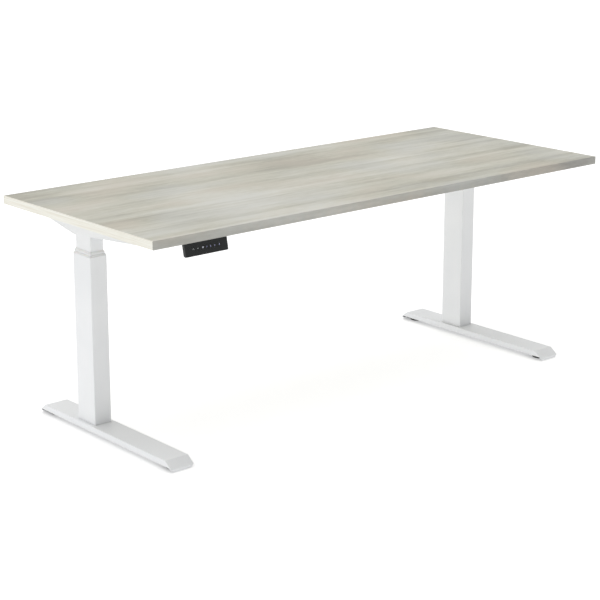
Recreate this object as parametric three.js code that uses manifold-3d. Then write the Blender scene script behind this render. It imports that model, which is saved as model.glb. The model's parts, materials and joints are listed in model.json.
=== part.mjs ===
// Height adjustable standing desk: a rectangular top on a two-column electric lifting frame.
// Units are millimetres, +Z is up, the user sits at -Y, and the origin is on the floor
// under the centre of the top. The desk is drawn at its lowest setting.

import * as THREE from 'three';
import { ConvexGeometry } from 'three/addons/geometries/ConvexGeometry.js';
import { mergeVertices } from 'three/addons/utils/BufferGeometryUtils.js';
import Module from 'manifold-3d';

const wasm = await Module();
wasm.setup();

// ---------------------------------------------------------------- driving dimensions

const GAP = 0.3; // assembly gap between pieces that touch
const OVER = 1; // how far a cutting or joined shape runs past the face it crosses

const top = { width: 1800, depth: 750, thickness: 25, height: 690, bandThickness: 2 };
const underside = top.height - top.thickness;

const column = { x: 772, y: 119, bottom: 30, cornerRadius: 3 };
const outerTube = { width: 58, depth: 90, wall: 2, top: 540.7 };
const middleTube = { width: 51, depth: 83, wall: 1.5, bottom: 46, top: 550.7 };
const innerTube = { width: 45, depth: 77, wall: 1.5, bottom: 60, top: 654 };
const collar = { height: 5.5, lip: 1, slope: 2.7, skirt: 30, skirtWall: 0.9 };

// Folded sheet: two side flanges, and a nose at each end that slopes out to its shoulder
// and then drops almost to the floor, with clipped lower corners.
const foot = {
  width: 80, bottom: 12, top: 30, wall: 2.5, front: -315, rear: 357,
  noseReach: 27, shoulder: 10, noseBottom: 1, noseWidth: 62, gusset: 7,
  bossRadius: 9, threadPlay: 0.4,
};
const glide = {
  radius: 25, padHeight: 8, lowerEdge: 1.5, upperEdge: 2.5,
  neckRadius: 11, studRadius: 4, studTop: 25, spacing: 295,
};

const basePlate = { thickness: 8, cornerRadius: 2 };
const endPlate = { thickness: 6, holeRadius: 12 };
const spindle = { radius: 7, top: 430, chamfer: 2, flangeRadius: 12, flangeHeight: 4 };
const sleeve = { bore: 7.5, radius: 11, bottom: 47, top: 440, flangeRadius: 15, flangeHeight: 4 };
const driveTube = { bore: 11.5, radius: 15, bottom: 75, top: 455, cap: 10, shaftRadius: 6 };
const gearbox = {
  radius: 20, bottom: 460, top: 519.7, chamfer: 2,
  grooves: [482, 498], grooveDepth: 1.2, grooveHeight: 3,
};
const motor = { radius: 19.5, top: 650.5, capHeight: 12, waist: 18.5, chamfer: 1 };
const head = { thickness: 7.6, spigotRadius: 18 };

// The lower edge of a side bracket's flange, from front to rear, as [y, z].
const bracket = {
  innerHalfWidth: 22.8, sheet: 2, web: 2.5,
  front: -245, rear: 325,
  lowerEdge: [[-245, 628], [75, 602], [160, 595], [325, 627]],
};

const rail = { width: 50, height: 30, wall: 2, cornerRadius: 2, z: 645, innerEnd: 180 };
const railPlate = { thickness: 3, width: 76, bottom: 606, top: 661.7 };
const railSleeve = { halfLength: 300, width: 56.6, height: 36.6, wall: 2.5, cornerRadius: 3 };

const controlBox = {
  halfWidth: 130, front: -35, rear: 75, bottom: 628, wall: 2,
  basePlate: 3, earWidth: 14, cornerRadius: 6,
};
// Parts hang under the board; blocks are [x, y, width, depth, height] from its middle.
const circuit = {
  width: 222, depth: 84, z: 650, thickness: 1.6, sink: 0.5,
  blocks: [
    [70, -12, 52, 44, 17], [18, 8, 26, 34, 14], [-40, 18, 20, 20, 12],
    [-70, 18, 20, 20, 12], [-60, -14, 60, 18, 6],
  ],
  capacitor: { radius: 9, height: 17, places: [[-98, 12], [-98, -14]] },
};
// Three flat blades stand in the inlet's mouth, the middle one lower, at these [y, z].
const inlet = {
  width: 28, height: 20, depth: 16, wall: 2.2, y: 20, z: 645, proud: 1.5,
  blades: [[-7, 2], [0, -2.5], [7, 2]], bladeHalfWidth: 1, bladeHalfHeight: 2, bladeSetBack: 3,
};
const socketRow = {
  width: 74, height: 13, depth: 8, z: 645, proud: 1.5,
  portWidth: 14, portHeight: 8, portDepth: 4, portSpacing: 22,
};

const handset = {
  left: -793, width: 145, bottom: 627.5, lean: 8, faceThickness: 2, cornerRadius: 3,
  pocket: { width: 104, height: 17, depth: 4, cornerRadius: 2 },
  slabDepth: 8, slabRise: 1.5,
  // the connector block behind the slab and the screw flange above it, narrower than the face
  block: { inset: 26, rear: -338.8, bottom: 634, chamfer: 8 },
  flange: { inset: 40, rear: -322, thickness: 4 },
};
const key = {
  width: 10, height: 12, thickness: 3, recess: 0.1, cornerRadius: 1,
  flange: 0.8, flangeDepth: 1, clearance: 0.3,
};
// Each key's name and its place across the handset, from the left end.
const keys = [
  ['key_up', 29], ['key_down', 43.5], ['key_store', 61], ['key_1', 74],
  ['key_2', 87], ['key_3', 101], ['key_4', 116.5],
];

// A motor's lead leaves through a hole in the inner tube and one in the bracket's inner flange.
const lead = {
  radius: 3, thinRadius: 2.2, holeRadius: 4.5, tubeHoleZ: 640, flangeHole: { y: 55, z: 641 },
};
const clippedZ = underside - 5; // a lead's centre line where it is clipped to the underside
// The motor lead's route on the right-hand side, from the motor to the control box.
const motorLeadRoute = [
  [772, 98.8, 640], [772, 86, 640], [772, 74, 640], [768, 64, 640], [760, 57.5, 640],
  [748, 55, 641], [734, 54, 645], [716, 52, 654], [694, 50, clippedZ], [640, 47, clippedZ],
  [520, 40, clippedZ], [380, 28, clippedZ], [260, 2, clippedZ], [180, -40, clippedZ],
  [130, -68, 660], [84, -78, 654], [50, -76, 648], [30, -66, 645.5], [22, -54, 645], [22, -43.5, 645],
];
const handsetLeadRoute = [
  [-700, -338.5, 656], [-700, -326, 656], [-699, -300, 658.5], [-694, -240, clippedZ],
  [-676, -180, clippedZ], [-620, -132, clippedZ], [-520, -108, clippedZ], [-400, -100, clippedZ],
  [-260, -98, clippedZ], [-140, -98, 659], [-70, -98, 656], [-28, -92, 650], [-6, -78, 646],
  [0, -62, 645], [0, -43.5, 645],
];

// ---------------------------------------------------------------- materials

const finish = {
  whiteSteel: { color: 0xe9ebec, roughness: 0.45, metalness: 0.1 },
  whitePlastic: { color: 0xe6e8e8, roughness: 0.5, metalness: 0 },
  zincSteel: { color: 0xb4b7ba, roughness: 0.35, metalness: 0.9 },
  castAlloy: { color: 0x9a9da0, roughness: 0.5, metalness: 0.8 },
  motorSteel: { color: 0x8d9194, roughness: 0.4, metalness: 0.85 },
  washedOak: { color: 0xc8c6bc, roughness: 0.6, metalness: 0 },
  edgeBand: { color: 0xb6b3a8, roughness: 0.6, metalness: 0 },
  blackPlastic: { color: 0x191c1c, roughness: 0.55, metalness: 0 },
  blackGloss: { color: 0x101314, roughness: 0.25, metalness: 0 },
  rubber: { color: 0x1d1d1f, roughness: 0.85, metalness: 0 },
  circuit: { color: 0x1f4a33, roughness: 0.5, metalness: 0 },
};

// ---------------------------------------------------------------- shape helpers

function roundedRectangle(width, height, radius) {
  const x = width / 2;
  const y = height / 2;
  const shape = new THREE.Shape();
  shape.moveTo(x, radius - y);
  shape.absarc(x - radius, y - radius, radius, 0, Math.PI / 2);
  shape.absarc(radius - x, y - radius, radius, Math.PI / 2, Math.PI);
  shape.absarc(radius - x, radius - y, radius, Math.PI, 1.5 * Math.PI);
  shape.absarc(x - radius, radius - y, radius, 1.5 * Math.PI, 2 * Math.PI);
  shape.closePath();
  return shape;
}

function polygon(points) {
  return new THREE.Shape(points.map(([x, y]) => new THREE.Vector2(x, y)));
}

// A flat outline in XY made into a prism from z = bottom to z = top.
function prism(shape, bottom, topZ, curveSegments = 2) {
  const geometry = new THREE.ExtrudeGeometry(shape, {
    depth: topZ - bottom, bevelEnabled: false, curveSegments,
  });
  return geometry.translate(0, 0, bottom);
}

// A side outline given as [y, z], made into a prism from x = left to x = right.
function sidePrism(outline, left, right) {
  const geometry = new THREE.ExtrudeGeometry(polygon(outline), {
    depth: right - left, bevelEnabled: false,
  });
  // extruded along z, so turn x, y, z into y, z, x
  geometry.applyMatrix4(new THREE.Matrix4().makeBasis(
    new THREE.Vector3(0, 1, 0), new THREE.Vector3(0, 0, 1), new THREE.Vector3(1, 0, 0),
  ));
  return geometry.translate(left, 0, 0);
}

function block(xRange, yRange, zRange) {
  const size = [xRange, yRange, zRange].map(([low, high]) => high - low);
  const middle = [xRange, yRange, zRange].map(([low, high]) => (low + high) / 2);
  return new THREE.BoxGeometry(...size).translate(...middle);
}

// A turned piece about the Z axis; the profile is a list of [radius, z], outside upwards.
function turned(profile, segments = 24) {
  const points = profile.map(([radius, z]) => new THREE.Vector2(radius, z));
  return new THREE.LatheGeometry(points, segments).rotateX(Math.PI / 2);
}

function round(radius, bottom, topZ, segments = 20) {
  return turned([[0, bottom], [radius, bottom], [radius, topZ], [0, topZ]], segments);
}

function rectangularTube(width, depth, wall, radius, bottom, topZ) {
  const shape = roundedRectangle(width, depth, radius);
  const inside = Math.max(radius - wall, 0.6);
  shape.holes.push(roundedRectangle(width - 2 * wall, depth - 2 * wall, inside));
  return prism(shape, bottom, topZ);
}

function cable(route, radius, steps) {
  const sides = 8;
  const path = new THREE.CatmullRomCurve3(route.map((point) => new THREE.Vector3(...point)));
  const section = new THREE.Shape();
  for (let side = 0; side < sides; side += 1) {
    const angle = (2 * Math.PI * side) / sides;
    const point = [radius * Math.cos(angle), radius * Math.sin(angle)];
    if (side === 0) section.moveTo(...point);
    else section.lineTo(...point);
  }
  section.closePath();
  return new THREE.ExtrudeGeometry(section, { steps, extrudePath: path });
}

// ---------------------------------------------------------------- joining and cutting

function toSolid(geometry) {
  const bare = geometry.clone();
  bare.deleteAttribute('normal');
  bare.deleteAttribute('uv');
  const merged = mergeVertices(bare, 1e-4);
  const kept = [];
  const index = merged.index.array;
  for (let i = 0; i < index.length; i += 3) {
    const [a, b, c] = [index[i], index[i + 1], index[i + 2]];
    if (a !== b && b !== c && c !== a) kept.push(a, b, c);
  }
  return new wasm.Manifold(new wasm.Mesh({
    numProp: 3,
    vertProperties: new Float32Array(merged.attributes.position.array),
    triVerts: new Uint32Array(kept),
  }));
}

function toGeometry(solid) {
  const { vertProperties, triVerts } = solid.getMesh();
  const geometry = new THREE.BufferGeometry();
  geometry.setAttribute('position', new THREE.BufferAttribute(vertProperties, 3));
  geometry.setIndex(new THREE.BufferAttribute(triVerts, 1));
  geometry.computeVertexNormals();
  return geometry;
}

// Joins the first list of geometries and cuts the second list out of them.
function carve(joined, cut = []) {
  let solid = toSolid(joined[0]);
  for (const geometry of joined.slice(1)) solid = solid.add(toSolid(geometry));
  for (const geometry of cut) solid = solid.subtract(toSolid(geometry));
  return toGeometry(solid);
}

// ---------------------------------------------------------------- assembly

const desk = new THREE.Group();

function addPiece(parent, name, geometry, look) {
  const mesh = new THREE.Mesh(geometry, new THREE.MeshStandardMaterial(look));
  mesh.name = name;
  parent.add(mesh);
  return mesh;
}

// A low inverted tray of folded sheet with a threaded boss over each glide.
function footGeometry() {
  const half = foot.width / 2;
  const ceiling = foot.top - foot.wall;
  // the tray as a solid: each level is [half width, distance in from either end, z]
  const hull = (levels) => {
    const corners = [];
    for (const [x, inset, z] of levels) {
      for (const y of [foot.front + inset, foot.rear - inset]) {
        corners.push(new THREE.Vector3(-x, y, z), new THREE.Vector3(x, y, z));
      }
    }
    return new ConvexGeometry(corners);
  };
  const tray = hull([
    [half, foot.noseReach, foot.top], [half, 0, foot.shoulder],
    [foot.noseWidth / 2, 0, foot.noseBottom],
  ]);
  const inner = half - foot.wall;
  const hollow = hull([
    [inner, foot.noseReach + foot.wall / 2, ceiling],
    [inner, foot.wall, foot.shoulder - OVER], [inner, foot.wall, -OVER],
  ]);
  const ends = [foot.front + foot.gusset, foot.rear - foot.gusset];
  const underSides = block([-foot.width, foot.width], ends, [-OVER, foot.bottom]);
  const boreRadius = glide.studRadius + foot.threadPlay;
  let solid = toSolid(tray).subtract(toSolid(hollow)).subtract(toSolid(underSides));
  for (const y of glidePlaces()) {
    const boss = round(foot.bossRadius, foot.bottom, ceiling + OVER).translate(0, y, 0);
    const bore = round(boreRadius, foot.bottom - OVER, ceiling - OVER).translate(0, y, 0);
    solid = solid.add(toSolid(boss)).subtract(toSolid(bore));
  }
  return toGeometry(solid);
}

function glidePlaces() {
  const middle = (foot.front + foot.rear) / 2;
  return [middle - glide.spacing, middle + glide.spacing];
}

function glideGeometry() {
  const neckTop = foot.bottom - GAP;
  return turned([
    [0, 0], [glide.radius - glide.lowerEdge, 0], [glide.radius, glide.lowerEdge],
    [glide.radius, glide.padHeight - glide.upperEdge],
    [glide.radius - glide.upperEdge, glide.padHeight], [glide.neckRadius, glide.padHeight],
    [glide.neckRadius, neckTop], [glide.studRadius, neckTop],
    [glide.studRadius, glide.studTop], [0, glide.studTop],
  ]);
}

// The moulded guide that closes a tube's mouth: a sloped lip outside and a thin skirt inside.
function collarGeometry(tube, inner) {
  const bottom = tube.top + GAP;
  const levels = [[0, bottom], [0, bottom + collar.lip], [collar.slope, bottom + collar.height]];
  const points = [];
  for (const [inset, z] of levels) {
    const outline = roundedRectangle(tube.width - 2 * inset, tube.depth - 2 * inset, column.cornerRadius);
    for (const { x, y } of outline.getPoints(2)) points.push(new THREE.Vector3(x, y, z));
  }
  const play = 2 * GAP;
  const mouth = roundedRectangle(inner.width + play, inner.depth + play, column.cornerRadius + GAP);
  const skirtWidth = inner.width + play + 2 * collar.skirtWall;
  const skirtDepth = inner.depth + play + 2 * collar.skirtWall;
  const skirt = roundedRectangle(skirtWidth, skirtDepth, column.cornerRadius + GAP + collar.skirtWall);
  return carve(
    [new ConvexGeometry(points), prism(skirt, bottom - collar.skirt, bottom + OVER)],
    [prism(mouth, bottom - collar.skirt - OVER, bottom + collar.height + OVER)],
  );
}

function bracketGeometry(side) {
  const roof = underside - GAP;
  const outline = [...bracket.lowerEdge, [bracket.rear, roof], [bracket.front, roof]];
  const halfWidth = bracket.innerHalfWidth + bracket.sheet;
  const channel = block(
    [-bracket.innerHalfWidth, bracket.innerHalfWidth],
    [bracket.front - OVER, bracket.rear + OVER],
    [bracket.lowerEdge[2][1] - OVER, roof - bracket.web],
  );
  const leadHole = round(lead.holeRadius, -halfWidth, -bracket.innerHalfWidth + OVER)
    .rotateY(side * Math.PI / 2).translate(0, lead.flangeHole.y, lead.flangeHole.z);
  return carve([sidePrism(outline, -halfWidth, halfWidth)], [channel, leadHole]);
}

function innerTubeGeometry() {
  const tube = rectangularTube(innerTube.width, innerTube.depth, innerTube.wall,
    column.cornerRadius, innerTube.bottom, innerTube.top);
  const frontWall = -innerTube.depth / 2;
  const leadHole = round(lead.holeRadius, -OVER, innerTube.wall + OVER).rotateX(-Math.PI / 2)
    .translate(0, frontWall, lead.tubeHoleZ);
  return carve([tube], [leadHole]);
}

// The two rounded bodies of the lifting motor: a waisted can with a raised cap at each end.
function motorGeometry() {
  const bottom = gearbox.top + GAP;
  return turned([
    [0, bottom], [motor.radius, bottom], [motor.radius, bottom + motor.capHeight],
    [motor.waist, bottom + motor.capHeight], [motor.waist, motor.top - motor.capHeight],
    [motor.radius, motor.top - motor.capHeight], [motor.radius, motor.top - motor.chamfer],
    [motor.radius - motor.chamfer, motor.top], [0, motor.top],
  ]);
}

function gearboxGeometry() {
  const profile = [
    [0, gearbox.bottom], [gearbox.radius - gearbox.chamfer, gearbox.bottom],
    [gearbox.radius, gearbox.bottom + gearbox.chamfer],
  ];
  const floorOfGroove = gearbox.radius - gearbox.grooveDepth;
  for (const z of gearbox.grooves) {
    const grooveTop = z + gearbox.grooveHeight;
    profile.push([gearbox.radius, z], [floorOfGroove, z]);
    profile.push([floorOfGroove, grooveTop], [gearbox.radius, grooveTop]);
  }
  profile.push([gearbox.radius, gearbox.top], [0, gearbox.top]);
  return turned(profile);
}

function addColumn(prefix, side) {
  const group = new THREE.Group();
  group.position.set(side * column.x, column.y, 0);
  desk.add(group);
  const add = (name, geometry, look) => addPiece(group, `${prefix}_${name}`, geometry, look);

  const footPiece = add('foot', footGeometry(), finish.whiteSteel);
  footPiece.position.y = -column.y;
  glidePlaces().forEach((y, index) => {
    const piece = add(index === 0 ? 'glide_front' : 'glide_rear', glideGeometry(), finish.blackPlastic);
    piece.position.y = y - column.y;
  });

  const floor = column.bottom + GAP;
  add('outer_tube', rectangularTube(outerTube.width, outerTube.depth, outerTube.wall,
    column.cornerRadius, floor, outerTube.top), finish.whiteSteel);
  const plateWidth = outerTube.width - 2 * outerTube.wall - 2 * GAP;
  const plateDepth = outerTube.depth - 2 * outerTube.wall - 2 * GAP;
  const plateTop = floor + basePlate.thickness;
  add('base_plate', prism(roundedRectangle(plateWidth, plateDepth, basePlate.cornerRadius),
    floor, plateTop), finish.zincSteel);
  add('outer_collar', collarGeometry(outerTube, middleTube), finish.whitePlastic);
  const rodFoot = plateTop + GAP;
  add('lower_spindle', turned([
    [0, rodFoot], [spindle.flangeRadius, rodFoot],
    [spindle.flangeRadius, rodFoot + spindle.flangeHeight],
    [spindle.radius, rodFoot + spindle.flangeHeight],
    [spindle.radius, spindle.top - spindle.chamfer],
    [spindle.radius - spindle.chamfer, spindle.top], [0, spindle.top],
  ]), finish.zincSteel);

  add('middle_tube', rectangularTube(middleTube.width, middleTube.depth, middleTube.wall,
    column.cornerRadius, middleTube.bottom, middleTube.top), finish.whiteSteel);
  add('middle_collar', collarGeometry(middleTube, innerTube), finish.whitePlastic);
  const endWidth = middleTube.width - 2 * middleTube.wall - 2 * GAP;
  const endDepth = middleTube.depth - 2 * middleTube.wall - 2 * GAP;
  const endTop = middleTube.bottom + endPlate.thickness;
  const end = roundedRectangle(endWidth, endDepth, basePlate.cornerRadius);
  end.holes.push(new THREE.Path().absarc(0, 0, endPlate.holeRadius, 0, 2 * Math.PI));
  add('middle_end_plate', prism(end, middleTube.bottom, endTop, 8), finish.zincSteel);
  const bearing = endTop + GAP;
  add('spindle_sleeve', turned([
    [sleeve.bore, sleeve.bottom], [sleeve.radius, sleeve.bottom], [sleeve.radius, bearing],
    [sleeve.flangeRadius, bearing], [sleeve.flangeRadius, bearing + sleeve.flangeHeight],
    [sleeve.radius, bearing + sleeve.flangeHeight], [sleeve.radius, sleeve.top],
    [sleeve.bore, sleeve.top], [sleeve.bore, sleeve.bottom],
  ]), finish.zincSteel);

  add('inner_tube', innerTubeGeometry(), finish.whiteSteel);
  add('drive_tube', turned([
    [driveTube.bore, driveTube.bottom], [driveTube.radius, driveTube.bottom],
    [driveTube.radius, driveTube.top], [driveTube.shaftRadius, driveTube.top],
    [driveTube.shaftRadius, gearbox.bottom - GAP], [0, gearbox.bottom - GAP],
    [0, driveTube.top - driveTube.cap], [driveTube.bore, driveTube.top - driveTube.cap],
    [driveTube.bore, driveTube.bottom],
  ]), finish.zincSteel);
  add('gearbox', gearboxGeometry(), finish.castAlloy);
  add('motor', motorGeometry(), finish.motorSteel);
  const headBottom = innerTube.top + GAP;
  add('column_head', carve([
    prism(roundedRectangle(innerTube.width, innerTube.depth, column.cornerRadius),
      headBottom, headBottom + head.thickness),
    round(head.spigotRadius, motor.top + GAP, headBottom + OVER),
  ]), finish.zincSteel);
  const arm = add('side_bracket', bracketGeometry(side), finish.whiteSteel);
  arm.position.y = -column.y;
}

function addTop() {
  const half = { x: top.width / 2, y: top.depth / 2 };
  const band = top.bandThickness;
  const board = { x: half.x - band - GAP, y: half.y - band - GAP };
  const height = [underside, top.height];
  addPiece(desk, 'desktop_board', block([-board.x, board.x], [-board.y, board.y], height),
    finish.washedOak);
  addPiece(desk, 'edge_band_front', block([-half.x, half.x], [-half.y, band - half.y], height),
    finish.edgeBand);
  addPiece(desk, 'edge_band_rear', block([-half.x, half.x], [half.y - band, half.y], height),
    finish.edgeBand);
  for (const [name, side] of [['edge_band_left', -1], ['edge_band_right', 1]]) {
    const ends = [side * (half.x - band), side * half.x].sort((a, b) => a - b);
    addPiece(desk, name, block(ends, [-board.y, board.y], height), finish.edgeBand);
  }
}

// Two square tubes slide in a middle sleeve and end in plates bolted to the side brackets.
function addCrossbeam() {
  const along = (geometry) => geometry.rotateY(Math.PI / 2).translate(0, column.y, rail.z);
  const plateOuter = column.x - bracket.innerHalfWidth - bracket.sheet - GAP;
  const plateInner = plateOuter - railPlate.thickness;
  const halfPlate = railPlate.width / 2;
  for (const [name, side] of [['beam_left', -1], ['beam_right', 1]]) {
    const ends = [side * rail.innerEnd, side * (plateInner + OVER)].sort((a, b) => a - b);
    const bore = [side * (rail.innerEnd - OVER), side * plateInner].sort((a, b) => a - b);
    const plate = [side * plateInner, side * plateOuter].sort((a, b) => a - b);
    const solid = roundedRectangle(rail.height, rail.width, rail.cornerRadius);
    const hollow = roundedRectangle(rail.height - 2 * rail.wall, rail.width - 2 * rail.wall,
      rail.cornerRadius / 2);
    addPiece(desk, name, carve(
      [along(prism(solid, ...ends)),
        block(plate, [column.y - halfPlate, column.y + halfPlate], [railPlate.bottom, railPlate.top])],
      [along(prism(hollow, ...bore))],
    ), finish.whiteSteel);
  }
  addPiece(desk, 'beam_sleeve', along(rectangularTube(railSleeve.height, railSleeve.width,
    railSleeve.wall, railSleeve.cornerRadius, -railSleeve.halfLength, railSleeve.halfLength)),
  finish.whiteSteel);
}

function addControlBox() {
  const { halfWidth, front, rear, bottom, wall } = controlBox;
  const width = 2 * halfWidth;
  const depth = rear - front;
  const middle = (front + rear) / 2;
  const roof = underside - GAP;
  const rim = roof - controlBox.basePlate;
  const cover = prism(roundedRectangle(width, depth, controlBox.cornerRadius), bottom, rim - GAP)
    .translate(0, middle, 0);
  const hollow = prism(roundedRectangle(width - 2 * wall, depth - 2 * wall,
    controlBox.cornerRadius - wall), bottom + wall, rim).translate(0, middle, 0);
  const inletHole = block([halfWidth - wall - OVER, halfWidth + OVER],
    [inlet.y - inlet.width / 2 - GAP, inlet.y + inlet.width / 2 + GAP],
    [inlet.z - inlet.height / 2 - GAP, inlet.z + inlet.height / 2 + GAP]);
  const socketHole = block([-socketRow.width / 2 - GAP, socketRow.width / 2 + GAP],
    [front - OVER, front + wall + OVER],
    [socketRow.z - socketRow.height / 2 - GAP, socketRow.z + socketRow.height / 2 + GAP]);
  addPiece(desk, 'control_box_cover', carve([cover], [hollow, inletHole, socketHole]),
    finish.blackPlastic);
  addPiece(desk, 'control_box_base', prism(roundedRectangle(width + 2 * controlBox.earWidth,
    depth, controlBox.cornerRadius), rim, roof).translate(0, middle, 0), finish.blackPlastic);

  const lying = { x: circuit.width / 2, y: circuit.depth / 2 };
  const boardTop = circuit.z + circuit.thickness;
  const rooted = circuit.z + circuit.sink;
  const blocks = circuit.blocks.map(([x, y, w, d, h]) => block([x - w / 2, x + w / 2],
    [middle + y - d / 2, middle + y + d / 2], [circuit.z - h, rooted]));
  const { radius, height, places } = circuit.capacitor;
  const cans = places.map(([x, y]) => round(radius, circuit.z - height, rooted)
    .translate(x, middle + y, 0));
  addPiece(desk, 'control_circuit', carve([
    block([-lying.x, lying.x], [middle - lying.y, middle + lying.y], [circuit.z, boardTop]),
    ...blocks, ...cans,
  ]), finish.circuit);

  const inletBody = block([halfWidth - inlet.depth, halfWidth + inlet.proud],
    [inlet.y - inlet.width / 2, inlet.y + inlet.width / 2],
    [inlet.z - inlet.height / 2, inlet.z + inlet.height / 2]);
  const inletMouth = block([halfWidth - inlet.depth + inlet.wall, halfWidth + 2 * inlet.proud],
    [inlet.y - inlet.width / 2 + inlet.wall, inlet.y + inlet.width / 2 - inlet.wall],
    [inlet.z - inlet.height / 2 + inlet.wall, inlet.z + inlet.height / 2 - inlet.wall]);
  const blades = inlet.blades.map(([y, z]) => block(
    [halfWidth - inlet.depth, halfWidth - inlet.bladeSetBack],
    [inlet.y + y - inlet.bladeHalfWidth, inlet.y + y + inlet.bladeHalfWidth],
    [inlet.z + z - inlet.bladeHalfHeight, inlet.z + z + inlet.bladeHalfHeight],
  ));
  addPiece(desk, 'power_inlet', toGeometry(blades.reduce(
    (solid, blade) => solid.add(toSolid(blade)),
    toSolid(inletBody).subtract(toSolid(inletMouth)),
  )), finish.blackPlastic);

  const ports = [-1, 0, 1].map((place) => {
    const x = place * socketRow.portSpacing;
    return block([x - socketRow.portWidth / 2, x + socketRow.portWidth / 2],
      [front - socketRow.proud - OVER, front + socketRow.portDepth + OVER],
      [socketRow.z - socketRow.portHeight / 2, socketRow.z + socketRow.portHeight / 2]);
  });
  addPiece(desk, 'socket_row', carve([block([-socketRow.width / 2, socketRow.width / 2],
    [front - socketRow.proud, front + socketRow.depth - OVER],
    [socketRow.z - socketRow.height / 2, socketRow.z + socketRow.height / 2])], ports),
  finish.blackPlastic);
}

function addLeads() {
  for (const [name, side] of [['motor_lead_left', -1], ['motor_lead_right', 1]]) {
    const route = motorLeadRoute.map(([x, y, z]) => [side * x, y, z]);
    addPiece(desk, name, cable(route, lead.radius, 52), finish.rubber);
  }
  addPiece(desk, 'handset_lead', cable(handsetLeadRoute, lead.thinRadius, 64), finish.rubber);
}

// The face leans back a little from its lower edge, which is level with the top's front edge.
function addHandset() {
  const roof = underside - GAP;
  const rise = roof - handset.bottom;
  const faceHeight = Math.hypot(handset.lean, rise);
  const frontEdge = -top.depth / 2;
  const tilt = Math.atan2(rise, handset.lean);
  const right = handset.left + handset.width;
  const middle = (handset.left + right) / 2;

  const panel = new THREE.Group();
  panel.position.set(middle, frontEdge + handset.lean / 2, (handset.bottom + roof) / 2);
  panel.rotation.x = tilt;
  desk.add(panel);
  panel.updateMatrix();

  const places = keys.map(([, place]) => place - handset.width / 2);
  const back = -handset.faceThickness;
  const face = roundedRectangle(handset.width, faceHeight, handset.cornerRadius);
  for (const x of places) {
    const play = 2 * key.clearance;
    const window = roundedRectangle(key.width + play, key.height + play,
      key.cornerRadius + key.clearance);
    face.holes.push(new THREE.Path(window.getPoints(1).map((p) => p.add(new THREE.Vector2(x, 0)))));
  }
  addPiece(panel, 'handset_face', prism(face, back, 0), finish.blackGloss);

  keys.forEach(([name], index) => {
    const cap = roundedRectangle(key.width, key.height, key.cornerRadius);
    const flangeTop = back - GAP;
    const flange = roundedRectangle(key.width + 2 * key.flange, key.height + 2 * key.flange,
      key.cornerRadius);
    const piece = addPiece(panel, name, carve([
      prism(cap, -key.thickness, -key.recess),
      prism(flange, flangeTop - key.flangeDepth, flangeTop),
    ]), finish.blackGloss);
    piece.position.x = places[index];
  });

  // the housing starts just behind the face and follows its lean
  const setBack = handset.faceThickness + GAP;
  const low = [frontEdge + setBack * Math.sin(tilt), handset.bottom - setBack * Math.cos(tilt)];
  const high = [low[0] + handset.lean, roof];
  const slab = [
    low, [low[0] + handset.slabDepth, low[1] + handset.slabRise],
    [high[0] + handset.slabDepth, roof], high,
  ];
  const { block: rearBlock, flange } = handset;
  const connector = [
    [low[0] + handset.slabDepth / 2, rearBlock.bottom],
    [rearBlock.rear - rearBlock.chamfer, rearBlock.bottom],
    [rearBlock.rear, rearBlock.bottom + rearBlock.chamfer], [rearBlock.rear, roof],
    [high[0] + handset.slabDepth / 2, roof],
  ];
  const flangePlate = block([handset.left + flange.inset, right - flange.inset],
    [rearBlock.rear - OVER, flange.rear], [roof - flange.thickness, roof]);
  const { pocket: well } = handset;
  const pocket = prism(roundedRectangle(well.width, well.height, well.cornerRadius),
    back - GAP - well.depth, OVER).applyMatrix4(panel.matrix);
  addPiece(desk, 'handset_body', carve([
    sidePrism(slab, handset.left, right),
    sidePrism(connector, handset.left + rearBlock.inset, right - rearBlock.inset),
    flangePlate,
  ], [pocket]), finish.blackPlastic);
}

addTop();
addColumn('left', -1);
addColumn('right', 1);
addCrossbeam();
addControlBox();
addLeads();
addHandset();

export default desk;
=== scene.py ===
# Height adjustable standing desk: finishes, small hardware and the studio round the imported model.
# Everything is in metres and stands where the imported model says.
import json
import math
import bpy
import bmesh
from mathutils import Matrix, Vector


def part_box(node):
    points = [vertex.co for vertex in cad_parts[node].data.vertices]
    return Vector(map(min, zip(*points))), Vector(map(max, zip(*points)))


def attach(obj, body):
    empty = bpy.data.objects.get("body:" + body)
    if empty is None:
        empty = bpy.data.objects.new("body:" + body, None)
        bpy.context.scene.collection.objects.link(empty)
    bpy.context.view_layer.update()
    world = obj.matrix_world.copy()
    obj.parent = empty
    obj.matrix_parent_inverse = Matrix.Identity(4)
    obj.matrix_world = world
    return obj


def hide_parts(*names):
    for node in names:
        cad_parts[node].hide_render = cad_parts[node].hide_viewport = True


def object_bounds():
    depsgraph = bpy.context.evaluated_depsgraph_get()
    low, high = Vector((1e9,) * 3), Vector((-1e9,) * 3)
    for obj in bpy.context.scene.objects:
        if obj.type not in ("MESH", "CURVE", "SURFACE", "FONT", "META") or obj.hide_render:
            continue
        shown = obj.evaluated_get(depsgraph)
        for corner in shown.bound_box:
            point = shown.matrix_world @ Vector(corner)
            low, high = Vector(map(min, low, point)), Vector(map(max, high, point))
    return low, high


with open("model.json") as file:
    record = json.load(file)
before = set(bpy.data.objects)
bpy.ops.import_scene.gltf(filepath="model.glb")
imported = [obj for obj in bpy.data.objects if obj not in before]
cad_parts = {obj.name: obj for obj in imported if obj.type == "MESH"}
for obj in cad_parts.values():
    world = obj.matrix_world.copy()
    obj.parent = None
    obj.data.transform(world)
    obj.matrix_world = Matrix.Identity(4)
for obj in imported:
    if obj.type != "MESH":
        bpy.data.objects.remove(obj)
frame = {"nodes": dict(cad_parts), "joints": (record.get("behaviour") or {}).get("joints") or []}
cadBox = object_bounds()
nodes = frame["nodes"]
sides = {"left": -1, "right": 1}
mm = 0.001
tiny = 1e-6                  # metres; two places nearer than this are the same place
print("stage: frame loaded,", len(nodes), "nodes")


# materials: shared tools

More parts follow.
